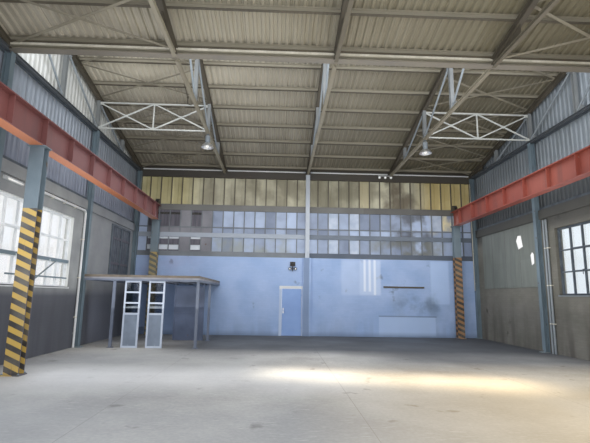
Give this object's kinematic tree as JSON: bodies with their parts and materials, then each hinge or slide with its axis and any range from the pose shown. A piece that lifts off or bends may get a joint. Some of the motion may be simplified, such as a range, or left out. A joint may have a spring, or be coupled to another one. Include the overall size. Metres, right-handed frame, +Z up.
{
  "type": "factory building",
  "caption": "Steel-framed factory hall with a sawtooth roof, glazed end walls, crane runways along both sides, a store platform and a door in the far wall.",
  "frame": {"origin": "ground level, under the middle of the building's plan", "axes": "+X to the right along the end walls, +Y along the hall towards the far wall with the door, +Z up"},
  "size_m": [15.46, 20.04, 9.6157],
  "materials": {
    "concrete_floor": "worn smooth",
    "blue_masonry": "painted, flaking",
    "grey_masonry": "painted, stained",
    "brown_masonry": "bare, stained",
    "pale_masonry": "rendered",
    "white_paint": "semi gloss",
    "door_paint": "semi gloss",
    "glazing_bars": "matt",
    "window_steel": "matt",
    "window_glass": "dusty",
    "side_glass": "dusty",
    "roof_glass": "wired, dusty",
    "translucent_sheet": "yellowed",
    "dark_steel": "matt",
    "light_steel": "satin",
    "column_paint": "satin",
    "striped_paint": "satin, striped low down",
    "platform_steel": "matt",
    "side_sheet": "satin",
    "lining_sheet": "matt",
    "roof_sheet": "weathered",
    "gutter_zinc": "dull",
    "red_oxide": "semi gloss"
  },
  "bodies": {
    "hall": {"floor_slab": "concrete_floor", "far_wall_left": "blue_masonry", "far_wall_right": "blue_masonry", "far_wall_lintel": "blue_masonry", "door_frame": "white_paint", "far_window_frame": "glazing_bars", "far_window_glass": "window_glass", "far_light_band": "translucent_sheet", "far_eaves_beam": "dark_steel", "front_wall_left": "pale_masonry", "front_wall_right": "pale_masonry", "front_window_frame": "glazing_bars", "front_window_glass": "window_glass", "front_light_band": "translucent_sheet", "left_wall": "grey_masonry", "right_wall": "brown_masonry", "side_window_frames": "window_steel", "side_window_glass": "side_glass", "left_cladding": "side_sheet", "right_cladding": "side_sheet", "side_girts": "window_steel", "right_sheet_panel": "lining_sheet", "left_boarded_window": "window_steel", "wall_columns": "column_paint", "centre_posts": "white_paint", "rafters": "dark_steel", "truss_ties": "dark_steel", "truss_posts": "light_steel", "truss_braces": "light_steel", "purlins_far": "dark_steel", "purlins_near": "dark_steel", "roof_sheets_far": "roof_sheet", "roof_sheets_near": "roof_sheet", "wind_braces": "dark_steel", "valley_beams": "dark_steel", "valley_gutter": "gutter_zinc", "north_light_frames": "glazing_bars", "north_light_glass": "roof_glass", "lattice_girders": "light_steel", "crane_columns": "striped_paint", "crane_girder_left": "red_oxide", "crane_girder_right": "red_oxide", "store_platform": "platform_steel", "store_screens": "white_paint", "lamps": "light_steel", "service_pipes": "white_paint"},
    "door": {"door_leaf": "door_paint"}
  },
  "joints": [
    {"name": "door_hinge", "type": "hinge", "parent": "hall", "child": "door", "pos_m": [-0.223, 9.64, 1.15], "axis": [0, 0, 1], "range_deg": [0, 95]}
  ]
}
